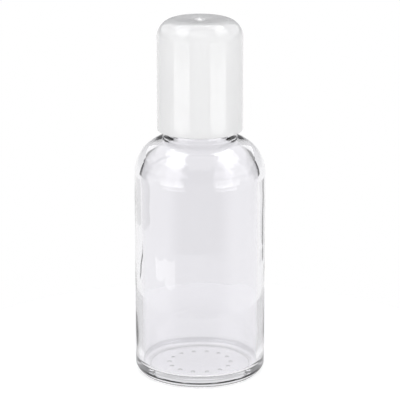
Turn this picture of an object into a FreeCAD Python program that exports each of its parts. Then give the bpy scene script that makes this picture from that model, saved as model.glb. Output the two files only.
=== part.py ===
import FreeCAD
import Part
import Sketcher
import math
import os

# Driving sizes in millimetres. Heights run up from the flat ring that the bottle stands on.
sizes = [
    ("body_diameter", 38.5, "outside of the glass barrel"),
    ("body_wall", 2.2, "glass thickness of the barrel"),
    ("heel_radius", 3.4, "outside rounding at the foot"),
    ("heel_inner_radius", 1.6, "inside rounding above the floor"),
    ("floor_thickness", 3.4, "standing plane up to the inside floor"),
    ("bearing_width", 1.0, "width of the flat standing ring"),
    ("push_up_slope", 0.3, "width of the slope inside the standing ring"),
    ("push_up_depth", 0.3, "rise of the base panel"),
    ("barrel_height", 61.4, "standing plane up to the shoulder"),
    ("shoulder_radius", 10.75, "outside rounding of the shoulder"),
    ("shoulder_inner_radius", 10.75, "inside rounding of the shoulder"),
    ("shoulder_wall", 1.7, "glass thickness at the shoulder crown"),
    ("neck_height", 14.35, "shoulder crown up to the neck rim"),
    ("neck_wall", 2.1, "glass thickness of the neck"),
    ("neck_root_radius", 1.6, "fillet between shoulder and neck"),
    ("neck_inner_radius", 2.0, "rounding at the lower end of the bore"),
    ("neck_lip_radius", 0.5, "rounding of the neck rim"),
    ("thread_starts", 3, "number of thread ridges"),
    ("thread_lead", 12.0, "rise of one full turn"),
    ("thread_turns", 0.42, "sweep of each ridge in turns"),
    ("thread_rise", 6.0, "shoulder crown up to the lower end of the neck ridges"),
    ("thread_depth", 0.85, "height of the neck ridges"),
    ("thread_crest", 0.9, "crest width of the neck ridges"),
    ("thread_flank", 0.47, "flank run for each millimetre of ridge height"),
    ("thread_root", 0.3, "depth that a ridge is set into its wall"),
    ("thread_clearance", 0.2, "neck ridge crest to cap wall"),
    ("thread_play", 0.15, "bearing flank to bearing flank"),
    ("cap_thread_crest", 0.8, "crest width of the cap ridges"),
    ("cap_thread_gap", 0.35, "cap ridge crest to neck wall"),
    ("ball_diameter", 17.46, "roller ball"),
    ("ball_clearance", 0.1, "ball to cup"),
    ("seat_diameter", 9.0, "opening under the ball"),
    ("seat_rise", 0.67, "neck rim up to the seat edge"),
    ("socket_wall", 1.15, "cup to outside of the socket"),
    ("socket_lip", 2.2, "ball centre up to the socket lip"),
    ("socket_round", 0.5, "rounding of the socket lip"),
    ("flange_thickness", 1.2, "flange on the neck rim"),
    ("flange_ledge", 0.22, "flange beyond the socket"),
    ("flange_inset", 0.1, "neck beyond the flange"),
    ("web_thickness", 1.1, "web below the seat edge"),
    ("web_slope", 1.35, "rise of the underside of the web"),
    ("plug_length", 7.0, "plug below the flange"),
    ("plug_wall", 1.15, "wall of the plug"),
    ("plug_lead_in", 0.4, "chamfer at the end of the plug"),
    ("rib_rise", 1.7, "end of the plug up to the first sealing rib"),
    ("rib_pitch", 2.4, "first sealing rib up to the second"),
    ("rib_height", 0.2, "sealing ribs beyond the plug"),
    ("rib_width", 1.2, "foot of a sealing rib"),
    ("rib_clearance", 0.05, "sealing ribs to bore"),
    ("slot_count", 6, "feed slots through the web"),
    ("slot_width", 1.5, "width of a feed slot"),
    ("slot_length", 1.9, "feed slot outward from the seat opening"),
    ("slot_overcut", 0.5, "feed slot past the web, inward and downward"),
    ("cap_gap", 1.95, "shoulder crown up to the cap rim"),
    ("cap_wall", 1.2, "side wall of the cap"),
    ("cap_top", 1.6, "thickness of the cap crown"),
    ("cap_corner", 5.3, "outside rounding of the crown"),
    ("cap_rim_radius", 0.5, "outside rounding of the rim"),
    ("cap_rim_chamfer", 0.3, "inside chamfer of the rim"),
    ("dish_diameter", 8.0, "shallow dish in the crown"),
    ("dish_depth", 0.3, "depth of the dish"),
    ("gate_diameter", 3.6, "gate recess in the dish"),
    ("gate_depth", 0.65, "gate recess below the dish"),
    ("liner_thickness", 1.75, "sealing disc"),
    ("liner_chamfer", 0.2, "edge of the sealing disc"),
    ("liner_gap", 0.1, "ball crown to sealing disc"),
    ("liner_play", 0.05, "sealing disc to ceiling and to catch"),
    ("liner_side", 0.1, "sealing disc to ring"),
    ("ring_inset", 0.1, "edge of the flat ceiling to the ring that holds the sealing disc"),
    ("ring_wall", 0.7, "ring that holds the sealing disc"),
    ("catch_width", 0.35, "inward catch of the ring"),
    ("catch_height", 0.6, "height of the catch"),
    ("catch_land", 0.2, "upright edge of the catch"),
]

doc = FreeCAD.newDocument("roll_on_bottle")
sheet = doc.addObject("Spreadsheet::Sheet", "d")
for row, (alias, size, meaning) in enumerate(sizes, 1):
    sheet.set(f"A{row}", meaning)
    sheet.set(f"B{row}", str(size))
    sheet.setAlias(f"B{row}", alias)
doc.recompute()

# Sizes that follow from others.
body_r = "(d.body_diameter / 2)"
ball_r = "(d.ball_diameter / 2)"
seat_r = "(d.seat_diameter / 2)"
cup_r = f"({ball_r} + d.ball_clearance)"
socket_r = f"({cup_r} + d.socket_wall)"
flange_r = f"({socket_r} + d.flange_ledge)"
neck_r = f"({flange_r} + d.flange_inset)"
bore_r = f"({neck_r} - d.neck_wall)"
rib_r = f"({bore_r} - d.rib_clearance)"
plug_r = f"({rib_r} - d.rib_height)"
plug_bore_r = f"({plug_r} - d.plug_wall)"
cap_bore_r = f"({neck_r} + d.thread_depth + d.thread_clearance)"
cap_r = f"({cap_bore_r} + d.cap_wall)"
inner_corner = "(d.cap_corner - d.cap_wall)"
ring_r = f"({cap_bore_r} - {inner_corner} - d.ring_inset)"
ring_bore_r = f"({ring_r} - d.ring_wall)"
liner_r = f"({ring_bore_r} - d.liner_side)"

shoulder_top = "(d.barrel_height + d.shoulder_radius)"
neck_rim = f"({shoulder_top} + d.neck_height)"
seat_drop = f"sqrt({cup_r} ^ 2 - {seat_r} ^ 2)"
ball_centre = f"({neck_rim} + d.seat_rise + {seat_drop})"
liner_under = f"({ball_centre} + {ball_r} + d.liner_gap)"
cap_rim = f"({shoulder_top} + d.cap_gap)"


def draw(body, name, plane, points):
    sketch = body.newObject("Sketcher::SketchObject", name)
    planes = {item.Role: item for item in body.Origin.OriginFeatures}
    sketch.AttachmentSupport = [(planes[plane], "")]
    sketch.MapMode = "FlatFace"

    def value(text):
        return float(sketch.evalExpression(text))

    spots = [FreeCAD.Vector(value(point[1]), value(point[2]), 0) for point in points]
    heads = []
    tails = []
    for index, point in enumerate(points):
        here = spots[index]
        there = spots[(index + 1) % len(points)]
        bend = points[(index + 1) % len(points)][3:]
        heads.append(1)
        tails.append(2)
        if not bend:
            sketch.addGeometry(Part.LineSegment(here, there))
            continue
        radius = value(bend[0])
        chord = there - here
        left = FreeCAD.Vector(-chord.y, chord.x, 0).normalize()
        reach = math.sqrt(radius ** 2 - (chord.Length / 2) ** 2)
        centre = (here + there) / 2 + left * (reach if bend[1] == "left" else -reach)
        first, last = (here, there) if bend[1] == "left" else (there, here)
        if bend[1] == "right":
            heads[index], tails[index] = 2, 1
        circle = Part.Circle(centre, FreeCAD.Vector(0, 0, 1), radius)
        start = math.atan2(first.y - centre.y, first.x - centre.x)
        end = math.atan2(last.y - centre.y, last.x - centre.x)
        sketch.addGeometry(Part.ArcOfCircle(circle, start, end))

    bound = []
    for index, point in enumerate(points):
        before = (index - 1) % len(points)
        sketch.addConstraint(Sketcher.Constraint("Coincident", before, tails[before], index, heads[index]))
        for axis, kind, ground in ((1, "DistanceX", -2), (2, "DistanceY", -1)):
            if point[axis] == "0":
                sketch.addConstraint(Sketcher.Constraint("PointOnObject", index, heads[index], ground))
                continue
            place = value(point[axis])
            number = sketch.addConstraint(Sketcher.Constraint(kind, -1, 1, index, heads[index], place))
            sketch.renameConstraint(number, f"{point[0]}_{'xy'[axis - 1]}")
            bound.append((f"Constraints.{point[0]}_{'xy'[axis - 1]}", point[axis]))
        if point[3:]:
            number = sketch.addConstraint(Sketcher.Constraint("Radius", before, value(point[3])))
            sketch.renameConstraint(number, f"{point[0]}_bend")
            bound.append((f"Constraints.{point[0]}_bend", point[3]))
    for path, text in bound:
        sketch.setExpression(path, text)
    doc.recompute()
    return sketch


def turn(body, name, sketch):
    solid = body.newObject("PartDesign::Revolution", name)
    solid.Profile = sketch
    solid.ReferenceAxis = (sketch, ["V_Axis"])
    solid.Angle = 360
    doc.recompute()
    return solid


def repeat(body, name, feature, sketch, axis, count):
    pattern = body.newObject("PartDesign::PolarPattern", name)
    pattern.Originals = [feature]
    pattern.Axis = (sketch, [axis])
    pattern.Angle = 360
    pattern.setExpression("Occurrences", count)
    body.Tip = pattern
    doc.recompute()
    return pattern


def ridges(body, name, points):
    sketch = draw(body, f"{name}_profile", "XZ_Plane", points)
    ridge = body.newObject("PartDesign::AdditiveHelix", name)
    ridge.Profile = sketch
    ridge.ReferenceAxis = (sketch, ["V_Axis"])
    ridge.Mode = "pitch-turns-angle"
    ridge.setExpression("Pitch", "d.thread_lead")
    ridge.setExpression("Turns", "d.thread_turns")
    ridge.LeftHanded = False
    ridge.Reversed = False
    doc.recompute()
    return repeat(body, f"{name}_starts", ridge, sketch, "V_Axis", "d.thread_starts")


# Glass bottle: floor, barrel, shoulder and neck in one turned wall, then the neck ridges.
bottle = doc.addObject("PartDesign::Body", "glass_bottle")
round_x = f"({body_r} - d.shoulder_radius)"
root_reach = "(d.shoulder_radius + d.neck_root_radius)"
root_x = f"({neck_r} + d.neck_root_radius - {round_x})"
root_z = f"sqrt({root_reach} ^ 2 - {root_x} ^ 2)"
root_share = f"(d.shoulder_radius / {root_reach})"
inner_r = f"({body_r} - d.body_wall)"
inner_round_x = f"({inner_r} - d.shoulder_inner_radius)"
inner_round_z = f"({shoulder_top} - d.shoulder_wall - d.shoulder_inner_radius)"
inner_reach = "(d.shoulder_inner_radius + d.neck_inner_radius)"
inner_x = f"({bore_r} + d.neck_inner_radius - {inner_round_x})"
inner_z = f"sqrt({inner_reach} ^ 2 - {inner_x} ^ 2)"
inner_share = f"(d.shoulder_inner_radius / {inner_reach})"
bearing_r = f"({body_r} - d.heel_radius)"
wall_profile = draw(bottle, "bottle_profile", "XZ_Plane", [
    ("base_middle", "0", "d.push_up_depth"),
    ("base_edge", f"{bearing_r} - d.bearing_width - d.push_up_slope", "d.push_up_depth"),
    ("bearing_inner", f"{bearing_r} - d.bearing_width", "0"),
    ("bearing_outer", bearing_r, "0"),
    ("heel_top", body_r, "d.heel_radius", "d.heel_radius", "left"),
    ("barrel_top", body_r, "d.barrel_height"),
    ("shoulder_end", f"{round_x} + {root_share} * {root_x}", f"d.barrel_height + {root_share} * {root_z}",
     "d.shoulder_radius", "left"),
    ("neck_root", neck_r, f"d.barrel_height + {root_z}", "d.neck_root_radius", "right"),
    ("neck_top", neck_r, f"{neck_rim} - d.neck_lip_radius"),
    ("lip_outer", f"{neck_r} - d.neck_lip_radius", neck_rim, "d.neck_lip_radius", "left"),
    ("lip_inner", f"{bore_r} + d.neck_lip_radius", neck_rim),
    ("bore_top", bore_r, f"{neck_rim} - d.neck_lip_radius", "d.neck_lip_radius", "left"),
    ("bore_bottom", bore_r, f"{inner_round_z} + {inner_z}"),
    ("crown", f"{inner_round_x} + {inner_share} * {inner_x}", f"{inner_round_z} + {inner_share} * {inner_z}",
     "d.neck_inner_radius", "left"),
    ("inner_top", inner_r, inner_round_z, "d.shoulder_inner_radius", "right"),
    ("inner_bottom", inner_r, "d.floor_thickness + d.heel_inner_radius"),
    ("floor_edge", f"{inner_r} - d.heel_inner_radius", "d.floor_thickness", "d.heel_inner_radius", "right"),
    ("floor_middle", "0", "d.floor_thickness"),
])
turn(bottle, "bottle_wall", wall_profile)
crest_r = f"({neck_r} + d.thread_depth)"
ridge_z = f"({shoulder_top} + d.thread_rise)"
ridge_foot = "(d.thread_crest / 2 + d.thread_flank * (d.thread_depth + d.thread_root))"
ridges(bottle, "neck_thread", [
    ("foot_low", f"{neck_r} - d.thread_root", f"{ridge_z} - {ridge_foot}"),
    ("crest_low", crest_r, f"{ridge_z} - d.thread_crest / 2"),
    ("crest_high", crest_r, f"{ridge_z} + d.thread_crest / 2"),
    ("foot_high", f"{neck_r} - d.thread_root", f"{ridge_z} + {ridge_foot}"),
])

# Ball housing: plug with two sealing ribs, flange, and a cup that closes a little past the ball's equator.
housing = doc.addObject("PartDesign::Body", "ball_housing")
housing.setExpression("Placement.Base.z", f"{neck_rim} - d.plug_length")
cup_z = f"(d.plug_length + d.seat_rise + {seat_drop})"
lip_z = f"({cup_z} + d.socket_lip)"
flange_z = "(d.plug_length + d.flange_thickness)"
seat_z = "(d.plug_length + d.seat_rise)"
low_rib = "d.rib_rise"
high_rib = "(d.rib_rise + d.rib_pitch)"
housing_profile = draw(housing, "housing_profile", "XZ_Plane", [
    ("plug_end_inner", plug_bore_r, "0"),
    ("plug_end_outer", f"{plug_r} - d.plug_lead_in", "0"),
    ("plug_lead", plug_r, "d.plug_lead_in"),
    ("low_rib_foot", plug_r, low_rib),
    ("low_rib_under", rib_r, f"{low_rib} + d.rib_height"),
    ("low_rib_over", rib_r, f"{low_rib} + d.rib_width - d.rib_height"),
    ("low_rib_head", plug_r, f"{low_rib} + d.rib_width"),
    ("high_rib_foot", plug_r, high_rib),
    ("high_rib_under", rib_r, f"{high_rib} + d.rib_height"),
    ("high_rib_over", rib_r, f"{high_rib} + d.rib_width - d.rib_height"),
    ("high_rib_head", plug_r, f"{high_rib} + d.rib_width"),
    ("plug_top", plug_r, "d.plug_length"),
    ("flange_under", flange_r, "d.plug_length"),
    ("flange_side", flange_r, f"{flange_z} - d.flange_ledge"),
    ("flange_over", socket_r, flange_z, "d.flange_ledge", "left"),
    ("socket_top", socket_r, f"{lip_z} - d.socket_round"),
    ("lip_outer", f"{socket_r} - d.socket_round", lip_z, "d.socket_round", "left"),
    ("lip_inner", f"sqrt({cup_r} ^ 2 - d.socket_lip ^ 2)", lip_z),
    ("seat", seat_r, seat_z, cup_r, "right"),
    ("web_inner", seat_r, f"{seat_z} - d.web_thickness"),
    ("web_outer", plug_bore_r, f"{seat_z} - d.web_thickness + d.web_slope"),
])
turn(housing, "housing_wall", housing_profile)
slot_low = f"({seat_z} - d.web_thickness - d.slot_overcut)"
slot_profile = draw(housing, "slot_profile", "YZ_Plane", [
    ("left_low", "-d.slot_width / 2", slot_low),
    ("right_low", "d.slot_width / 2", slot_low),
    ("right_high", "d.slot_width / 2", cup_z),
    ("left_high", "-d.slot_width / 2", cup_z),
])
slot_profile.setExpression("AttachmentOffset.Base.z", f"{seat_r} - d.slot_overcut")
doc.recompute()
slot = housing.newObject("PartDesign::Pocket", "feed_slot")
slot.Profile = slot_profile
slot.setExpression("Length", "d.slot_length + d.slot_overcut")
slot.Reversed = True
doc.recompute()
repeat(housing, "feed_slots", slot, housing_profile, "V_Axis", "d.slot_count")

# Roller ball.
ball = doc.addObject("Part::Sphere", "roller_ball")
ball.setExpression("Radius", ball_r)
ball.setExpression("Placement.Base.z", ball_centre)

# Screw cap: round-cornered crown with a shallow dish and gate recess, smooth side, and a ring inside that holds the disc.
cap = doc.addObject("PartDesign::Body", "screw_cap")
cap.setExpression("Placement.Base.z", cap_rim)
ceiling = f"({liner_under} + d.liner_thickness + d.liner_play - {cap_rim})"
crown_z = f"({ceiling} + d.cap_top)"
dish_r = "(d.dish_diameter / 2)"
dish_bend = f"(({dish_r} ^ 2 + d.dish_depth ^ 2) / (2 * d.dish_depth))"
gate_r = "(d.gate_diameter / 2)"
gate_z = f"({crown_z} - d.dish_depth + {dish_bend} - sqrt({dish_bend} ^ 2 - {gate_r} ^ 2))"
catch_r = f"({liner_r} - d.catch_width)"
catch_z = f"({ceiling} - d.liner_thickness - 2 * d.liner_play)"
cap_profile = draw(cap, "cap_profile", "XZ_Plane", [
    ("rim_inner", f"{cap_bore_r} + d.cap_rim_chamfer", "0"),
    ("rim_outer", f"{cap_r} - d.cap_rim_radius", "0"),
    ("side_bottom", cap_r, "d.cap_rim_radius", "d.cap_rim_radius", "left"),
    ("side_top", cap_r, f"{crown_z} - d.cap_corner"),
    ("crown_edge", f"{cap_r} - d.cap_corner", crown_z, "d.cap_corner", "left"),
    ("dish_edge", dish_r, crown_z),
    ("gate_edge", gate_r, gate_z, dish_bend, "right"),
    ("gate_corner", gate_r, f"{gate_z} - d.gate_depth"),
    ("gate_middle", "0", f"{gate_z} - d.gate_depth"),
    ("ceiling_middle", "0", ceiling),
    ("ceiling_ring", ring_bore_r, ceiling),
    ("catch_root", ring_bore_r, catch_z),
    ("catch_top", catch_r, catch_z),
    ("catch_edge", catch_r, f"{catch_z} - d.catch_land"),
    ("ring_end_inner", ring_bore_r, f"{catch_z} - d.catch_height"),
    ("ring_end_outer", ring_r, f"{catch_z} - d.catch_height"),
    ("ring_root", ring_r, ceiling),
    ("ceiling_edge", f"{cap_bore_r} - {inner_corner}", ceiling),
    ("bore_top", cap_bore_r, f"{ceiling} - {inner_corner}", inner_corner, "right"),
    ("bore_bottom", cap_bore_r, "d.cap_rim_chamfer"),
])
turn(cap, "cap_wall", cap_profile)
cap_crest_r = f"({neck_r} + d.cap_thread_gap)"
cap_ridge_depth = f"({cap_bore_r} - {cap_crest_r})"
flank_overlap = f"({crest_r} - {cap_crest_r})"
ridge_spacing = f"((d.thread_crest + d.cap_thread_crest) / 2 + d.thread_flank * {flank_overlap} + d.thread_play)"
cap_ridge_z = f"({ridge_z} - {ridge_spacing} - {cap_rim})"
cap_ridge_foot = f"(d.cap_thread_crest / 2 + d.thread_flank * ({cap_ridge_depth} + d.thread_root))"
ridges(cap, "cap_thread", [
    ("crest_low", cap_crest_r, f"{cap_ridge_z} - d.cap_thread_crest / 2"),
    ("foot_low", f"{cap_bore_r} + d.thread_root", f"{cap_ridge_z} - {cap_ridge_foot}"),
    ("foot_high", f"{cap_bore_r} + d.thread_root", f"{cap_ridge_z} + {cap_ridge_foot}"),
    ("crest_high", cap_crest_r, f"{cap_ridge_z} + d.cap_thread_crest / 2"),
])

# Sealing disc, loose in the ring under the crown of the cap.
liner = doc.addObject("PartDesign::Body", "cap_liner")
liner.setExpression("Placement.Base.z", liner_under)
liner_profile = draw(liner, "liner_profile", "XZ_Plane", [
    ("under_middle", "0", "0"),
    ("under_edge", f"{liner_r} - d.liner_chamfer", "0"),
    ("side_low", liner_r, "d.liner_chamfer"),
    ("side_high", liner_r, "d.liner_thickness - d.liner_chamfer"),
    ("top_edge", f"{liner_r} - d.liner_chamfer", "d.liner_thickness"),
    ("top_middle", "0", "d.liner_thickness"),
])
turn(liner, "liner_disc", liner_profile)

doc.recompute()
for item in doc.Objects:
    if "Invalid" in item.State or "Error" in item.State:
        raise RuntimeError(f"{item.Name} did not build: {item.State}")
os.makedirs("parts", exist_ok=True)
for piece in (bottle, housing, ball, cap, liner):
    shape = piece.Shape
    if shape.isNull() or not shape.isValid() or len(shape.Solids) != 1:
        raise RuntimeError(f"{piece.Label} is not one valid solid")
    shape.exportStep(f"parts/{piece.Label}.step")
    box = shape.optimalBoundingBox()
    print(piece.Label, round(shape.Volume, 2), round(box.ZMin, 3), round(box.ZMax, 3), round(box.XMax, 3))
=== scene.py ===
import math

import bmesh
import bpy
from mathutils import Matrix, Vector


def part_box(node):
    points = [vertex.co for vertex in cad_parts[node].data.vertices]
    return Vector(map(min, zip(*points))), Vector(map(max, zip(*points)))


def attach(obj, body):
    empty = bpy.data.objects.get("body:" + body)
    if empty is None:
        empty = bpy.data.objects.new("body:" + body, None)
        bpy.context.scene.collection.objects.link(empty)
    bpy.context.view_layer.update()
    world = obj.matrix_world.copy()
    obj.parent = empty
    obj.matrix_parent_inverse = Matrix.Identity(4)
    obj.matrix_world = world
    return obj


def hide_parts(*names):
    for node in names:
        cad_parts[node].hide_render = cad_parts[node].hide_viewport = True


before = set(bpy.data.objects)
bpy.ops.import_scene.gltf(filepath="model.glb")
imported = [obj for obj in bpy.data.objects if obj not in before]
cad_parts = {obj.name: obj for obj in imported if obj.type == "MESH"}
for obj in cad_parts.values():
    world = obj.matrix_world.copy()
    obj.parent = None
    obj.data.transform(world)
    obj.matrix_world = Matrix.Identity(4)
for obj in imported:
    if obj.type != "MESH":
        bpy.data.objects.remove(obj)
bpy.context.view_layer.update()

mm = 0.001
weldGap = 2e-7       # points closer than this are one point
lineGap = 1e-5       # points closer than this to a line lie on it
smoothAngle = math.radians(26)
fewestSteps = 3      # in any bend
smallBend = 2 * mm   # bends up to this radius get fewer steps
smallShare = 0.7     # of the steps that a larger bend would get


class Wire:
    # a shader socket that can be added, multiplied and so on
    def __init__(self, tree, socket=None):
        self.tree = tree
        self.socket = socket

    def node(self, kind, settings=None, sockets=None, outlet=0):
        made = self.tree.nodes.new("ShaderNode" + kind)
        for name, value in (settings or {}).items():
            if name == "stops":
                ramp = made.color_ramp
                while len(ramp.elements) < len(value):
                    ramp.elements.new(1.0)
                for element, (place, shade) in zip(ramp.elements, value):
                    element.position = place
                    element.color = (*shade, 1.0)
            else:
                setattr(made, name, value)
        for name, value in (sockets or {}).items():
            inlet = made.inputs[name]
            if isinstance(value, Wire):
                self.tree.links.new(value.socket, inlet)
            elif inlet.type == "RGBA":
                inlet.default_value = (*value, 1.0)
            else:
                inlet.default_value = value
        return Wire(self.tree, made.outputs[outlet])

    def maths(self, operation, first, second):
        return self.node("Math", {"operation": operation}, {0: first, 1: second})

    def __add__(self, other):
        return self.maths("ADD", self, other)

    __radd__ = __add__

    def __sub__(self, other):
        return self.maths("SUBTRACT", self, other)

    def __rsub__(self, other):
        return self.maths("SUBTRACT", other, self)

    def __mul__(self, other):
        return self.maths("MULTIPLY", self, other)

    __rmul__ = __mul__

    def atMost(self, other):
        return self.maths("MINIMUM", self, other)

    def atLeast(self, other):
        return self.maths("MAXIMUM", self, other)

    def mixColours(self, first, second):
        # sockets 6 and 7 take its colours, outlet 2 gives the mix
        return self.node("Mix", {"data_type": "RGBA"}, {"Factor": self, 6: first, 7: second}, 2)


def newFinish(name):
    finish = bpy.data.materials.new(name)
    finish.use_nodes = True
    tree = finish.node_tree
    tree.nodes.clear()
    out = tree.nodes.new("ShaderNodeOutputMaterial")
    return finish, Wire(tree), out


def endFinish(wire, out, surface, volume=None):
    wire.tree.links.new(surface.socket, out.inputs["Surface"])
    if volume:
        wire.tree.links.new(volume.socket, out.inputs["Volume"])


def objectPlace(wire):
    return wire.node("TexCoord", outlet="Object")


# Modelling helpers: an outline is drawn point by point, then turned about the upright axis.

def clearSelection():
    if bpy.context.object and bpy.context.object.mode != "OBJECT":
        bpy.ops.object.mode_set(mode="OBJECT")
    bpy.ops.object.select_all(action="DESELECT")


def roundSteps(radius, sweep, fineness):
    share = 1 if radius > smallBend else smallShare
    return max(fewestSteps, math.ceil(abs(sweep) * fineness / (2 * math.pi) * share))


def traceOutline(corners, fineness=96):
    # each corner is (x, z), or (x, z, radius, side) where a bend of that radius leads up to it
    points = [Vector(corners[0][:2])]
    for corner in corners[1:]:
        here, there = points[-1], Vector(corner[:2])
        if len(corner) > 2:
            radius, side = corner[2], corner[3]
            chord = there - here
            leftward = Vector((-chord.y, chord.x)).normalized()
            reach = math.sqrt(max(0.0, radius ** 2 - (chord.length / 2) ** 2))
            centre = (here + there) / 2 + leftward * reach * side
            first = math.atan2(here.y - centre.y, here.x - centre.x)
            last = math.atan2(there.y - centre.y, there.x - centre.x)
            sweep = (last - first + math.pi) % math.tau - math.pi
            steps = roundSteps(radius, sweep, fineness)
            for step in range(1, steps):
                turn = first + sweep * step / steps
                points.append(centre + radius * Vector((math.cos(turn), math.sin(turn))))
        points.append(there)
    return points


def addSteps(points, longest):
    # extra points along the straight runs
    fine = [points[0]]
    for there in points[1:]:
        here = fine[-1].copy()
        count = max(1, math.ceil((there - here).length / longest))
        fine += [here.lerp(there, step / count) for step in range(1, count + 1)]
    return fine


def drawOutline(name, points, closed=False):
    clearSelection()
    bpy.ops.mesh.primitive_plane_add(size=mm, location=(0, 0, 0))
    piece = bpy.context.object
    piece.name = piece.data.name = name
    bpy.ops.object.mode_set(mode="EDIT")
    bpy.ops.mesh.select_mode(type="VERT")
    bpy.ops.mesh.select_all(action="SELECT")
    bpy.ops.mesh.merge(type="CENTER")
    bpy.ops.transform.translate(value=(points[0].x, 0, points[0].y))
    path = points + points[:1] if closed else points
    for here, there in zip(path, path[1:]):
        step = there - here
        bpy.ops.mesh.extrude_region_move(TRANSFORM_OT_translate={"value": (step.x, 0, step.y)})
    bpy.ops.mesh.select_all(action="SELECT")
    bpy.ops.mesh.remove_doubles(threshold=weldGap)
    return piece


def tidyShell():
    bpy.ops.mesh.select_all(action="SELECT")
    bpy.ops.mesh.remove_doubles(threshold=weldGap)
    bpy.ops.mesh.dissolve_degenerate(threshold=weldGap)
    bpy.ops.mesh.normals_make_consistent(inside=False)


def lathe(name, points, steps, closed=False):
    piece = drawOutline(name, points, closed)
    bpy.ops.mesh.select_all(action="SELECT")
    bpy.ops.mesh.spin(steps=steps, angle=math.tau, center=(0, 0, 0), axis=(0, 0, 1))
    tidyShell()
    bpy.ops.object.mode_set(mode="OBJECT")
    return piece


def pick(piece, test):
    # selects the points of the piece that pass the test, in edit mode
    bpy.ops.mesh.select_mode(type="VERT")
    bpy.ops.mesh.select_all(action="DESELECT")
    shape = bmesh.from_edit_mesh(piece.data)
    for point in shape.verts:
        point.select = test(point.co)
    shape.select_flush_mode()
    bmesh.update_edit_mesh(piece.data)


def makeActive(piece):
    clearSelection()
    piece.select_set(True)
    bpy.context.view_layer.objects.active = piece


def applyAll(piece):
    makeActive(piece)
    for modifier in list(piece.modifiers):
        bpy.ops.object.modifier_apply(modifier=modifier.name)


def combine(piece, other, operation):
    # joins or cuts one closed shape with another and removes the second
    modifier = piece.modifiers.new("combine", "BOOLEAN")
    modifier.operation = operation
    modifier.solver = "EXACT"
    modifier.object = other
    applyAll(piece)
    clearSelection()
    other.select_set(True)
    bpy.ops.object.delete()


def repeatRound(piece, count):
    # copies the whole mesh round the upright axis
    makeActive(piece)
    bpy.ops.object.mode_set(mode="EDIT")
    bpy.ops.mesh.select_all(action="SELECT")
    for copy in range(count - 1):
        bpy.ops.mesh.duplicate()
        bpy.ops.transform.rotate(value=math.tau / count, orient_axis="Z", center_override=(0, 0, 0))
    bpy.ops.object.mode_set(mode="OBJECT")


def threadRidge(name, profile, s):
    # one ridge swept up the screw line, its ends sunk into the wall, then copied for each start
    steps, runOut = s["threadSteps"], s["threadRunOut"]
    sweep = s["threadTurns"] * math.tau
    ridge = drawOutline(name, profile, closed=True)
    bpy.ops.object.mode_set(mode="OBJECT")
    screw = ridge.modifiers.new("screw", "SCREW")
    screw.axis = "Z"
    screw.angle = sweep
    screw.screw_offset = s["threadTurns"] * s["threadLead"]
    screw.steps = screw.render_steps = steps
    screw.use_smooth_shade = False
    applyAll(ridge)
    bpy.ops.object.mode_set(mode="EDIT")
    ringSize = len(ridge.data.vertices) // (steps + 1)
    for end in range(runOut):
        ease = 1 + (s["threadSink"] - 1) * ((runOut - end) / runOut) ** 2
        for level in (end, steps - end):
            turn = sweep * level / steps
            along = Vector((math.cos(turn), math.sin(turn)))
            across = Vector((-along.y, along.x))
            pick(ridge, lambda co: abs(co.xy.dot(across)) < lineGap and co.xy.dot(along) > 0)
            bpy.ops.transform.resize(value=(ease, ease, 1), center_override=(0, 0, 0))
    bpy.ops.mesh.select_all(action="SELECT")
    bpy.ops.mesh.fill_holes(sides=ringSize + 1)
    tidyShell()
    bpy.ops.object.mode_set(mode="OBJECT")
    repeatRound(ridge, s["threadStarts"])
    return ridge


def finishPiece(piece, body, node, finish):
    makeActive(piece)
    bpy.ops.object.shade_smooth_by_angle(angle=smoothAngle)
    piece.data.materials.clear()
    piece.data.materials.append(finish)
    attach(piece, body)
    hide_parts(node)
    print(piece.name, "done,", len(piece.data.polygons), "faces")


left, right = 1, -1      # the side that a bend's centre lies on, seen along the outline

# Glass bottle: one turned wall with a heavy floor, a round shoulder and a threaded neck.
bottleSizes = {
    "wall": 2.2 * mm, "floor": 3.4 * mm, "heel": 3.4 * mm, "innerHeel": 1.6 * mm,
    "bearing": 1.0 * mm, "pushUpSlope": 0.1 * mm, "pushUp": 0.1 * mm,
    "barrel": 61.4 * mm, "shoulder": 10.75 * mm, "neck": 10.3 * mm, "neckWall": 2.1 * mm,
    "root": 1.6 * mm, "innerShoulder": 10.75 * mm, "crownWall": 1.7 * mm, "innerRoot": 2.0 * mm,
    "lip": 0.5 * mm,
    "threadRise": 6.0 * mm, "threadDepth": 0.85 * mm, "threadCrest": 0.9 * mm, "threadFlank": 0.47,
    "threadRoot": 0.3 * mm, "threadSoft": 0.28 * mm, "threadLead": 12.0 * mm, "threadTurns": 0.42,
    "threadStarts": 3, "threadSteps": 48, "threadRunOut": 5, "threadSink": 0.93,
    "ripple": 0.22 * mm, "rippleSize": 14 * mm, "rippleFoot": 1.0 * mm,
    "rippleTop": 0.55, "rippleDepth": 0.6,       # shares of the shoulder and of the wall
    "dots": 14, "dotRing": 9.3 * mm, "dotSize": 0.62 * mm, "dotDepth": 0.22 * mm,
    "dotSides": 20, "dotSoft": 0.11 * mm, "dotSoftSteps": 3,
    "around": 144, "fineness": 120, "longest": 2.5 * mm,
}


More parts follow.
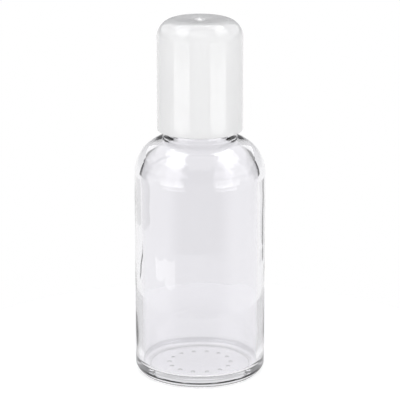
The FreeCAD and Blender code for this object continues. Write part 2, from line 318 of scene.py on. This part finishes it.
def bottleOutline(s, outer, top):
    bore = s["neck"] - s["neckWall"]
    inner = outer - s["wall"]
    bearing = outer - s["heel"]
    ring = bearing - s["bearing"]
    turnX = outer - s["shoulder"]
    rootReach = s["shoulder"] + s["root"]
    rootX = s["neck"] + s["root"] - turnX
    rootZ = math.sqrt(rootReach ** 2 - rootX ** 2)
    rootShare = s["shoulder"] / rootReach
    innerRound = s["innerShoulder"]
    innerTurnX = inner - innerRound
    innerTop = s["barrel"] + s["shoulder"] - s["crownWall"] - innerRound
    crownReach = innerRound + s["innerRoot"]
    crownX = bore + s["innerRoot"] - innerTurnX
    crownZ = math.sqrt(crownReach ** 2 - crownX ** 2)
    crownShare = innerRound / crownReach
    outline = [
        (0, s["pushUp"]),
        (ring - s["pushUpSlope"], s["pushUp"]),
        (ring, 0),
        (bearing, 0),
        (outer, s["heel"], s["heel"], left),
        (outer, s["barrel"]),
        (turnX + rootShare * rootX, s["barrel"] + rootShare * rootZ, s["shoulder"], left),
        (s["neck"], s["barrel"] + rootZ, s["root"], right),
        (s["neck"], top - s["lip"]),
        (s["neck"] - s["lip"], top, s["lip"], left),
        (bore + s["lip"], top),
        (bore, top - s["lip"], s["lip"], left),
        (bore, innerTop + crownZ),
        (innerTurnX + crownShare * crownX, innerTop + crownShare * crownZ, s["innerRoot"], left),
        (inner, innerTop, innerRound, right),
        (inner, s["floor"] + s["innerHeel"]),
        (inner - s["innerHeel"], s["floor"], s["innerHeel"], right),
        (0, s["floor"]),
    ]
    return addSteps(traceOutline(outline, s["fineness"]), s["longest"])


def makeBottle(s):
    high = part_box("glass_bottle")[1]
    outer, top = high.x, high.z
    bottle = lathe("bottleGlass", bottleOutline(s, outer, top), s["around"])

    # base marks: a ring of small dots sunk into the underside
    clearSelection()
    bpy.ops.mesh.primitive_cylinder_add(
        vertices=s["dotSides"], radius=s["dotSize"], depth=2 * s["dotDepth"],
        location=(s["dotRing"], 0, s["pushUp"]))
    dot = bpy.context.object
    bpy.ops.object.transform_apply(location=True, rotation=True, scale=True)
    bpy.ops.object.mode_set(mode="EDIT")
    pick(dot, lambda co: co.z > s["pushUp"])
    bpy.ops.mesh.bevel(offset=s["dotSoft"], segments=s["dotSoftSteps"])
    bpy.ops.object.mode_set(mode="OBJECT")
    repeatRound(dot, s["dots"])
    combine(bottle, dot, "DIFFERENCE")

    # neck thread
    foot = s["threadCrest"] / 2 + s["threadFlank"] * (s["threadDepth"] + s["threadRoot"])
    height = s["barrel"] + s["shoulder"] + s["threadRise"]
    base, crest, half = s["neck"] - s["threadRoot"], s["neck"] + s["threadDepth"], s["threadCrest"] / 2
    soft = s["threadSoft"]
    profile = [Vector(p) for p in (
        (base, height - foot), (crest - soft, height - half - soft * s["threadFlank"]),
        (crest, height - half + soft), (crest, height + half - soft),
        (crest - soft, height + half + soft * s["threadFlank"]), (base, height + foot))]
    combine(bottle, threadRidge("neckThread", profile, s), "UNION")

    # the blown inner wall is never quite even
    makeActive(bottle)
    bpy.ops.object.mode_set(mode="EDIT")
    within = outer - s["rippleDepth"] * s["wall"]
    lowest, highest = s["floor"] + s["rippleFoot"], s["barrel"] + s["shoulder"] * s["rippleTop"]
    pick(bottle, lambda co: co.xy.length < within and lowest < co.z < highest)
    bpy.ops.object.vertex_group_add()
    bpy.ops.object.vertex_group_assign()
    bpy.ops.object.mode_set(mode="OBJECT")
    cloud = bpy.data.textures.new("wallRipple", "CLOUDS")
    cloud.noise_scale = s["rippleSize"]
    ripple = bottle.modifiers.new("ripple", "DISPLACE")
    ripple.texture = cloud
    ripple.texture_coords = "LOCAL"
    ripple.strength = s["ripple"]
    ripple.mid_level = 0.5
    ripple.vertex_group = bottle.vertex_groups[0].name
    applyAll(bottle)
    bottle.vertex_groups.clear()
    return bottle


def clearGlass():
    finish, wire, out = newFinish("clearGlass")
    place = objectPlace(wire)
    swirl = wire.node("TexNoise", None, {"Vector": place, "Scale": 55.0, "Detail": 2.0, "Roughness": 0.45})
    tint = swirl.mixColours((0.911, 0.906, 0.926), (0.926, 0.921, 0.941))
    cords = wire.node("TexNoise", None, {"Vector": place, "Scale": 130.0, "Detail": 1.0})
    bump = wire.node("Bump", None, {"Height": cords, "Strength": 0.25, "Distance": 0.04 * mm})
    glass = wire.node("BsdfPrincipled", None, {
        "Base Color": tint, "Roughness": 0.0, "IOR": 1.52, "Transmission Weight": 1.0, "Normal": bump})
    soak = wire.node("VolumeAbsorption", None, {"Color": (0.5, 0.52, 0.54), "Density": 5.0})
    endFinish(wire, out, glass, soak)
    return finish


finishPiece(makeBottle(bottleSizes), "bottle", "glass_bottle", clearGlass())

# Ball housing: pressed into the neck, with feed slots under the ball.
housingSizes = {
    "plugBore": 6.8 * mm, "plug": 7.95 * mm, "rib": 8.15 * mm, "leadIn": 0.4 * mm,
    "ribRise": 1.7 * mm, "ribPitch": 2.4 * mm, "ribHeight": 0.2 * mm, "ribWidth": 1.2 * mm,
    "plugLength": 7.0 * mm, "flange": 10.2 * mm, "flangeThick": 1.2 * mm, "ledge": 0.22 * mm,
    "socket": 9.98 * mm, "socketRound": 0.5 * mm, "socketLip": 2.2 * mm, "cup": 8.83 * mm,
    "seat": 4.5 * mm, "seatRise": 0.67 * mm, "web": 1.1 * mm, "webSlope": 1.35 * mm,
    "slots": 6, "slotWidth": 1.5 * mm, "slotLength": 1.9 * mm, "slotOvercut": 0.5 * mm,
    "around": 120,
}


def makeHousing(s):
    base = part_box("ball_housing")[0].z
    seatZ = base + s["plugLength"] + s["seatRise"]
    cupZ = seatZ + math.sqrt(s["cup"] ** 2 - s["seat"] ** 2)
    lipZ = cupZ + s["socketLip"]
    flangeZ = base + s["plugLength"] + s["flangeThick"]
    outline = [(s["plugBore"], base), (s["plug"] - s["leadIn"], base), (s["plug"], base + s["leadIn"])]
    for rise in (s["ribRise"], s["ribRise"] + s["ribPitch"]):
        foot = base + rise
        outline += [
            (s["plug"], foot), (s["rib"], foot + s["ribHeight"]),
            (s["rib"], foot + s["ribWidth"] - s["ribHeight"]), (s["plug"], foot + s["ribWidth"])]
    outline += [
        (s["plug"], base + s["plugLength"]),
        (s["flange"], base + s["plugLength"]),
        (s["flange"], flangeZ - s["ledge"]),
        (s["socket"], flangeZ, s["ledge"], left),
        (s["socket"], lipZ - s["socketRound"]),
        (s["socket"] - s["socketRound"], lipZ, s["socketRound"], left),
        (math.sqrt(s["cup"] ** 2 - s["socketLip"] ** 2), lipZ),
        (s["seat"], seatZ, s["cup"], right),
        (s["seat"], seatZ - s["web"]),
        (s["plugBore"], seatZ - s["web"] + s["webSlope"]),
    ]
    housing = lathe("ballHousing", traceOutline(outline), s["around"], closed=True)

    # feed slots
    slotLow = seatZ - s["web"] - s["slotOvercut"]
    inner, reach = s["seat"] - s["slotOvercut"], s["slotLength"] + s["slotOvercut"]
    clearSelection()
    bpy.ops.mesh.primitive_cube_add(size=1, location=(inner + reach / 2, 0, (slotLow + cupZ) / 2))
    slots = bpy.context.object
    slots.scale = (reach, s["slotWidth"], cupZ - slotLow)
    bpy.ops.object.transform_apply(location=True, rotation=True, scale=True)
    repeatRound(slots, s["slots"])
    combine(housing, slots, "DIFFERENCE")
    return housing


def milkyPlastic():
    finish, wire, out = newFinish("milkyPlastic")
    place = objectPlace(wire)
    cloud = wire.node("TexNoise", None, {"Vector": place, "Scale": 260.0, "Detail": 3.0})
    shade = cloud.mixColours((0.80, 0.815, 0.815), (0.865, 0.87, 0.865))
    grain = wire.node("TexNoise", None, {"Vector": place, "Scale": 2600.0, "Detail": 2.0})
    bump = wire.node("Bump", None, {"Height": grain, "Strength": 0.35, "Distance": 0.02 * mm})
    plastic = wire.node("BsdfPrincipled", None, {
        "Base Color": shade, "Roughness": 0.34 + 0.12 * cloud, "IOR": 1.51, "Subsurface Weight": 0.15,
        "Subsurface Radius": (1.0, 1.0, 1.0), "Subsurface Scale": 1.2 * mm, "Normal": bump})
    endFinish(wire, out, plastic)
    return finish


finishPiece(makeHousing(housingSizes), "bottle", "ball_housing", milkyPlastic())

# Roller ball: polished, with a hair-thin weld line round it.
ballSizes = {
    "weldWidth": 0.22 * mm, "weldDepth": 0.012 * mm, "tilt": math.radians(58),
    "around": 128, "levels": 64,
}


def makeBall(s):
    low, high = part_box("roller_ball")
    radius = (high.x - low.x) / 2
    middle = (low + high) / 2
    outline = []
    for level in range(s["levels"] + 1):
        turn = math.pi * (level / s["levels"] - 0.5)
        dent = s["weldDepth"] if level == s["levels"] // 2 else 0
        outline.append(Vector(((radius - dent) * math.cos(turn), radius * math.sin(turn))))
    for edge in (-1, 1):
        turn = edge * s["weldWidth"] / 2 / radius
        outline.append(radius * Vector((math.cos(turn), math.sin(turn))))
    outline.sort(key=lambda point: point.y)
    outline[0].x = outline[-1].x = 0
    ball = lathe("rollerBall", outline, s["around"])
    bpy.ops.object.mode_set(mode="EDIT")
    bpy.ops.mesh.select_all(action="SELECT")
    bpy.ops.transform.rotate(value=s["tilt"], orient_axis="X", center_override=(0, 0, 0))
    bpy.ops.transform.translate(value=middle)
    bpy.ops.object.mode_set(mode="OBJECT")
    return ball


def polishedPlastic():
    finish, wire, out = newFinish("polishedPlastic")
    place = objectPlace(wire)
    cloud = wire.node("TexNoise", None, {"Vector": place, "Scale": 190.0, "Detail": 3.0})
    shade = cloud.mixColours((0.845, 0.845, 0.835), (0.89, 0.89, 0.885))
    scuff = wire.node("TexNoise", None, {"Vector": place, "Scale": 900.0, "Detail": 4.0, "Roughness": 0.7})
    bump = wire.node("Bump", None, {"Height": scuff, "Strength": 0.1, "Distance": 0.01 * mm})
    plastic = wire.node("BsdfPrincipled", None, {
        "Base Color": shade, "Roughness": 0.08 + 0.1 * scuff, "IOR": 1.5, "Normal": bump})
    endFinish(wire, out, plastic)
    return finish


finishPiece(makeBall(ballSizes), "ball", "roller_ball", polishedPlastic())

# Screw cap: plain side, round crown with a shallow dish and gate, thread and disc ring inside.
capSizes = {
    "wall": 1.2 * mm, "top": 1.6 * mm, "corner": 5.3 * mm, "rimRound": 0.5 * mm, "rimChamfer": 0.3 * mm,
    "dish": 4.0 * mm, "dishDepth": 0.3 * mm,
    "gate": 1.8 * mm, "gateFloor": 0.85 * mm, "gateDepth": 0.65 * mm, "gateRound": 0.12 * mm,
    "ring": 7.15 * mm, "ringBore": 6.45 * mm, "catch": 6.0 * mm, "catchDrop": 1.85 * mm,
    "catchLand": 0.2 * mm, "catchHeight": 0.6 * mm,
    "threadCrestR": 10.65 * mm, "threadCrest": 0.8 * mm, "threadFlank": 0.47, "threadRoot": 0.3 * mm,
    "threadSoft": 0.2 * mm, "threadZ": 2.815 * mm, "threadLead": 12.0 * mm, "threadTurns": 0.42,
    "threadStarts": 3, "threadSteps": 48, "threadRunOut": 5, "threadSink": 1.055,
    "around": 160, "fineness": 128, "longest": 4 * mm,
}


def makeCap(s):
    low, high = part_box("screw_cap")
    outer, rim, crown = high.x, low.z, high.z
    bore = outer - s["wall"]
    innerCorner = s["corner"] - s["wall"]
    ceiling = crown - s["top"]
    dishBend = (s["dish"] ** 2 + s["dishDepth"] ** 2) / (2 * s["dishDepth"])
    gateFoot = crown - s["dishDepth"] + dishBend - math.sqrt(dishBend ** 2 - s["gate"] ** 2)
    gateFloor = gateFoot - s["gateDepth"]
    catchZ = ceiling - s["catchDrop"]
    outline = [
        (0, ceiling),
        (s["ringBore"], ceiling),
        (s["ringBore"], catchZ),
        (s["catch"], catchZ),
        (s["catch"], catchZ - s["catchLand"]),
        (s["ringBore"], catchZ - s["catchHeight"]),
        (s["ring"], catchZ - s["catchHeight"]),
        (s["ring"], ceiling),
        (bore - innerCorner, ceiling),
        (bore, ceiling - innerCorner, innerCorner, right),
        (bore, rim + s["rimChamfer"]),
        (bore + s["rimChamfer"], rim),
        (outer - s["rimRound"], rim),
        (outer, rim + s["rimRound"], s["rimRound"], left),
        (outer, crown - s["corner"]),
        (outer - s["corner"], crown, s["corner"], left),
        (s["dish"], crown),
        (s["gate"] + s["gateRound"], gateFoot, dishBend, right),
        (s["gate"], gateFoot - s["gateRound"], s["gateRound"], left),
        (s["gateFloor"], gateFloor + s["gateRound"]),
        (s["gateFloor"] - s["gateRound"], gateFloor, s["gateRound"], right),
        (0, gateFloor),
    ]
    points = addSteps(traceOutline(outline, s["fineness"]), s["longest"])
    cap = lathe("screwCap", points, s["around"])

    # inside thread
    depth = bore - s["threadCrestR"]
    foot = s["threadCrest"] / 2 + s["threadFlank"] * (depth + s["threadRoot"])
    height, half, base = rim + s["threadZ"], s["threadCrest"] / 2, bore + s["threadRoot"]
    soft = s["threadSoft"]
    profile = [Vector(p) for p in (
        (base, height - foot), (base, height + foot),
        (s["threadCrestR"] + soft, height + half + soft * s["threadFlank"]),
        (s["threadCrestR"], height + half - soft), (s["threadCrestR"], height - half + soft),
        (s["threadCrestR"] + soft, height - half - soft * s["threadFlank"]))]
    combine(cap, threadRidge("capThread", profile, s), "UNION")
    return cap


def whitePlastic():
    finish, wire, out = newFinish("whitePlastic")
    place = objectPlace(wire)
    cloud = wire.node("TexNoise", None, {"Vector": place, "Scale": 120.0, "Detail": 3.0})
    shade = cloud.mixColours((0.865, 0.865, 0.865), (0.90, 0.90, 0.898))
    peel = wire.node("TexNoise", None, {"Vector": place, "Scale": 1400.0, "Detail": 2.0})
    bump = wire.node("Bump", None, {"Height": peel, "Strength": 0.05, "Distance": 0.02 * mm})
    plastic = wire.node("BsdfPrincipled", None, {
        "Base Color": shade, "Roughness": 0.012 + 0.02 * cloud, "IOR": 1.49, "Subsurface Weight": 0.4,
        "Subsurface Radius": (1.0, 1.0, 1.0), "Subsurface Scale": 2 * mm, "Normal": bump})
    endFinish(wire, out, plastic)
    return finish


finishPiece(makeCap(capSizes), "cap", "screw_cap", whitePlastic())

# Sealing disc: soft foam with a shallow dent pressed in by the ball.
discSizes = {"edge": 0.2 * mm, "dent": 2.6 * mm, "dentDepth": 0.12 * mm, "around": 96, "longest": 1.2 * mm}


def makeDisc(s):
    low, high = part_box("cap_liner")
    radius = high.x
    bend = (s["dent"] ** 2 + s["dentDepth"] ** 2) / (2 * s["dentDepth"])
    outline = [
        (0, low.z + s["dentDepth"]),
        (s["dent"], low.z, bend, right),
        (radius - s["edge"], low.z),
        (radius, low.z + s["edge"], s["edge"], left),
        (radius, high.z - s["edge"]),
        (radius - s["edge"], high.z, s["edge"], left),
        (0, high.z),
    ]
    return lathe("capDisc", addSteps(traceOutline(outline), s["longest"]), s["around"])


def softFoam():
    finish, wire, out = newFinish("softFoam")
    place = objectPlace(wire)
    cells = wire.node("TexVoronoi", None, {"Vector": place, "Scale": 2300.0})
    cloud = wire.node("TexNoise", None, {"Vector": place, "Scale": 420.0, "Detail": 4.0})
    shade = cloud.mixColours((0.83, 0.83, 0.81), (0.89, 0.89, 0.875))
    bump = wire.node("Bump", None, {"Height": cells, "Strength": 0.5, "Distance": 0.05 * mm})
    foam = wire.node("BsdfPrincipled", None, {
        "Base Color": shade, "Roughness": 0.72 + 0.15 * cloud, "IOR": 1.45, "Normal": bump})
    endFinish(wire, out, foam)
    return finish


finishPiece(makeDisc(discSizes), "liner", "cap_liner", softFoam())


def bothSides(name, card):
    # the same card on the left and on the right
    return {name + "Left": {**card, "angle": -card["angle"]}, name + "Right": card}


# Studio: a small white table, a white backdrop that dims upward and, where it is mirrored, to the front,
# soft boxes at the sides and above, a weak fill, and grey cards behind the bottle.
studio = {
    "tableSize": 0.085, "tableSides": 96, "tableDrop": 0.03 * mm,
    "tableGlow": 0.6, "tableMatt": 0.8,          # as the camera sees the table
    "clearGlow": 0.88, "clearMatt": 0.25,        # as glass and gloss show it
    "shadowRingScale": 20,                             # from metres to the stops of the painted shadow ring round the foot of the bottle
    "shadowRingStops": [(0.36, (1, 1, 1)), (0.41, (0.76, 0.76, 0.77)), (0.50, (0.8, 0.8, 0.81)), (0.58, (1, 1, 1))],
    "wallDim": 0.3, "wallReach": 0.034,          # painted shade on the table for rays that stay inside the wall of the bottle
    "ambient": 1.2, "skyDrop": 0.045, "clearSky": 0.95,
    "frontDim": 0.55, "frontFrom": 0.42, "frontTo": 0.77,
    "skyStops": [
        (0.0, (1, 1, 1)), (0.5, (1, 1, 1)), (0.53, (0.62, 0.62, 0.63)),
        (0.57, (0.38, 0.38, 0.39)), (1.0, (0.18, 0.18, 0.19))],
    "boxes": {
        "sideLeft": {"angle": -70, "away": 0.40, "wide": 0.42, "low": 0.36, "high": 0.95, "glow": 2.2},
        "sideRight": {"angle": 80, "away": 0.40, "wide": 0.36, "low": 0.36, "high": 0.95, "glow": 2.2},
        "footLeft": {"angle": -70, "away": 0.40, "wide": 0.42, "low": 0.125, "high": 0.36, "glow": 1.0},
        "footRight": {"angle": 80, "away": 0.40, "wide": 0.36, "low": 0.125, "high": 0.36, "glow": 1.0},
        **bothSides("mid", {
            "angle": 49.5, "away": 0.45, "wide": 0.37, "low": 0.0, "high": 0.105, "glow": 1.1}),
        **bothSides("low", {
            "angle": 49.5, "away": 0.45, "wide": 0.37, "low": -0.045, "high": 0.0, "glow": 2.2}),
        **bothSides("back", {
            "angle": 130, "away": 0.45, "wide": 0.40, "low": 0.19, "high": 0.75,
            "glow": 1.3, "through": False}),
        "paneLeft": {
            "angle": -74, "away": 0.443, "wide": 0.157, "low": -0.1035, "high": -0.0935,
            "glow": 1.5, "through": False},
        "paneRight": {
            "angle": -54, "away": 0.443, "wide": 0.157, "low": -0.1065, "high": -0.0925,
            "glow": 1.5, "through": False},
    },
    "roof": {
        "roofFront": {
            "place": (0, -0.32, 0.62), "turn": 0, "size": (0.50, 0.60), "glow": 1.0, "through": False},
        "roofMiddle": {"place": (0, 0.20, 0.62), "turn": 0, "size": (0.70, 0.32), "glow": 1.8},
        "roofLeft": {"place": (-0.425, -0.024, 0.75), "turn": -25.5, "size": (0.40, 0.60), "glow": 2.2},
        "roofRight": {"place": (0.46, 0.14, 0.75), "turn": 58.8, "size": (0.40, 0.55), "glow": 2.2},
        "roofBack": {
            "place": (0, 0.335, 0.60), "turn": 0, "size": (0.50, 0.11), "glow": 3.2, "through": False},
    },
    "flags": {
        **bothSides("arch", {
            "angle": 128, "away": 0.50, "wide": 0.204, "low": 0.091, "high": 0.158, "shade": 0.03}),
        **bothSides("archTop", {
            "angle": 128, "away": 0.50, "wide": 0.336, "low": 0.158, "high": 0.28, "shade": 0.2}),
        "edgeLeft": {"angle": -150, "away": 0.35, "wide": 0.175, "low": -0.055, "high": 0.03, "shade": 0.8},
        "stripRight": {
            "angle": 155.5, "away": 0.35, "wide": 0.062, "low": -0.0655, "high": -0.006,
            "shade": 0.1, "inWall": True},
        "stripLeft": {
            "angle": -136.5, "away": 0.34, "wide": 0.066, "low": -0.0672, "high": -0.0622,
            "shade": 0.05, "lean": -9, "inWall": True},
    },
    "fill": {"away": 0.5, "high": 0.92, "wide": 0.5, "glow": 6.5},
}
wallCrossings = 2.5      # a ray that stays inside the wall passes two surfaces, one across the hollow four


def shownRays(wire):
    # one for rays that come from the camera, a mirror or glass
    seen = wire.node("LightPath", outlet="Is Camera Ray")
    shine = wire.node("LightPath", outlet="Is Glossy Ray")
    through = wire.node("LightPath", outlet="Is Transmission Ray")
    return seen.atLeast(shine).atLeast(through)


def inWall(wire):
    # one for rays that were mirrored inside the wall of the bottle and never crossed its hollow
    crossings = wire.node("LightPath", outlet="Transmission Depth")
    mirrored = wire.node("LightPath", outlet="Glossy Depth").atMost(1.0)
    return mirrored * wire.maths("LESS_THAN", crossings, wallCrossings)


def makeTable(s):
    clearSelection()
    bpy.ops.mesh.primitive_circle_add(
        vertices=s["tableSides"], radius=s["tableSize"], fill_type="NGON", location=(0, 0, -s["tableDrop"]))
    table = bpy.context.object
    table.name = "table"
    finish, wire, out = newFinish("tableWhite")
    away = wire.node("VectorMath", {"operation": "LENGTH"}, {0: objectPlace(wire)}, "Value")
    # painted shadow: a grey ring on the table round the foot of the bottle, seen only by glass and gloss
    ring = wire.node("ValToRGB", {"stops": s["shadowRingStops"]}, {"Fac": away * s["shadowRingScale"]})
    # painted shade: beyond wallReach the table is darker for rays that stay inside the wall of the bottle
    dim = s["wallDim"] * inWall(wire) * wire.maths("GREATER_THAN", away, s["wallReach"])
    ring = dim.mixColours(ring, (0, 0, 0))
    shades = []
    for matt, glow, shade in (
            (s["tableMatt"], s["tableGlow"], (1, 1, 1)), (s["clearMatt"], s["clearGlow"], ring)):
        paper = wire.node("BsdfDiffuse", None, {"Color": (matt,) * 3})
        light = wire.node("Emission", None, {"Color": shade, "Strength": glow})
        shades.append(wire.node("AddShader", None, {0: paper, 1: light}))
    plain = wire.node("BsdfDiffuse", None, {"Color": (s["tableMatt"],) * 3})
    seen = wire.node("LightPath", outlet="Is Camera Ray")
    shown = wire.node("MixShader", None, {0: seen, 1: shades[1], 2: shades[0]})
    endFinish(wire, out, wire.node("MixShader", None, {0: shownRays(wire), 1: plain, 2: shown}))
    table.data.materials.append(finish)


def makeSky(s):
    sky = bpy.data.worlds.new("studioSky")
    bpy.context.scene.world = sky
    sky.use_nodes = True
    sky.node_tree.nodes.clear()
    wire = Wire(sky.node_tree)
    way = wire.node("TexCoord", outlet="Generated")
    up = wire.node("SeparateXYZ", None, {0: way}, 2)
    shown = shownRays(wire)
    through = wire.node("LightPath", outlet="Is Transmission Ray")
    # straight down is 0 on the ramp and straight up is 1
    height = up * (1 - s["clearSky"] * through) * 0.5 + 0.5 + s["skyDrop"] * (shown - through)
    fade = wire.node("ValToRGB", {"stops": s["skyStops"]}, {"Fac": height})
    toFront = -1.0 * wire.node("SeparateXYZ", None, {0: way}, 1)
    front = wire.node(
        "MapRange", {"clamp": True}, {"Value": toFront, "From Min": s["frontFrom"], "From Max": s["frontTo"]})
    mirrored = wire.node("LightPath", outlet="Glossy Depth").atMost(1.0)
    level = s["ambient"] * (1 - shown) + shown * (1 - s["frontDim"] * front * mirrored)
    upper = wire.node("Background", None, {"Color": fade, "Strength": level})
    white = wire.node("Background", None, {"Color": (1, 1, 1), "Strength": 1.0})
    seen = wire.node("LightPath", outlet="Is Camera Ray")
    out = sky.node_tree.nodes.new("ShaderNodeOutputWorld")
    endFinish(wire, out, wire.node("MixShader", None, {0: seen, 1: upper, 2: white}))


def facing(card):
    # place and turn of an upright card that faces the middle, its angle counted from the front
    turn = math.radians(card["angle"])
    middle = (card["high"] + card["low"]) / 2
    place = (card["away"] * math.sin(turn), -card["away"] * math.cos(turn), middle)
    return place, (math.pi / 2, math.radians(card.get("lean", 0)), turn)


def softBox(name, place, turn, wide, tall, glow, through=True):
    clearSelection()
    bpy.ops.object.light_add(type="AREA", location=place, rotation=turn)
    box = bpy.context.object
    box.name = name
    box.data.shape = "RECTANGLE"
    box.data.size, box.data.size_y = wide, tall
    box.data.energy = glow * math.pi * wide * tall
    box.visible_camera = box.visible_diffuse = False
    box.visible_transmission = through


def makeSoftBoxes(s):
    for name, b in s["boxes"].items():
        place, turn = facing(b)
        softBox(name, place, turn, b["wide"], b["high"] - b["low"], b["glow"], b.get("through", True))
    for name, b in s["roof"].items():
        turn = (0, 0, math.radians(b["turn"]))
        softBox(name, b["place"], turn, *b["size"], b["glow"], b.get("through", True))
    f = s["fill"]
    clearSelection()
    bpy.ops.object.light_add(type="AREA", location=(0, -f["away"], f["high"]))
    fill = bpy.context.object
    fill.name = "fill"
    fill.data.size = f["wide"]
    fill.data.energy = f["glow"] * math.pi * f["wide"] ** 2
    fill.rotation_euler = (math.pi / 2 - math.atan2(f["high"], f["away"]), 0, 0)
    fill.visible_camera = fill.visible_glossy = fill.visible_transmission = False


def makeFlags(s):
    # grey cards behind the bottle, seen only through the glass, and some only by rays inside its wall
    for name, f in s["flags"].items():
        finish, wire, out = newFinish(name)
        shade = wire.node("Emission", None, {"Color": (1, 1, 1), "Strength": f["shade"]})
        if f.get("inWall"):
            shade = wire.node("MixShader", None, {0: inWall(wire), 1: wire.node("BsdfTransparent"), 2: shade})
        endFinish(wire, out, shade)
        place, turn = facing(f)
        clearSelection()
        bpy.ops.mesh.primitive_plane_add(size=1, location=place, rotation=turn)
        flag = bpy.context.object
        flag.name = name
        flag.scale = (f["wide"], f["high"] - f["low"], 1)
        flag.visible_camera = flag.visible_diffuse = flag.visible_glossy = flag.visible_shadow = False
        flag.data.materials.append(finish)


# Camera: from the front, a little above, looking down at the middle of the bottle.
cameraView = {"away": 0.650, "pitch": math.radians(15.54), "aim": 0.05269, "lens": 198.3, "sensor": 36.0}


def makeCamera(s):
    back = Vector((0, -math.cos(s["pitch"]), math.sin(s["pitch"])))
    place = Vector((0, 0, s["aim"])) + back * s["away"]
    clearSelection()
    bpy.ops.object.camera_add(location=place, rotation=(math.pi / 2 - s["pitch"], 0, 0))
    camera = bpy.context.object
    camera.data.sensor_width = s["sensor"]
    camera.data.lens = s["lens"]
    bpy.context.scene.camera = camera


makeTable(studio)
makeSky(studio)
makeSoftBoxes(studio)
makeFlags(studio)
makeCamera(cameraView)
bpy.context.scene.view_settings.view_transform = "Standard"
print("studio done")
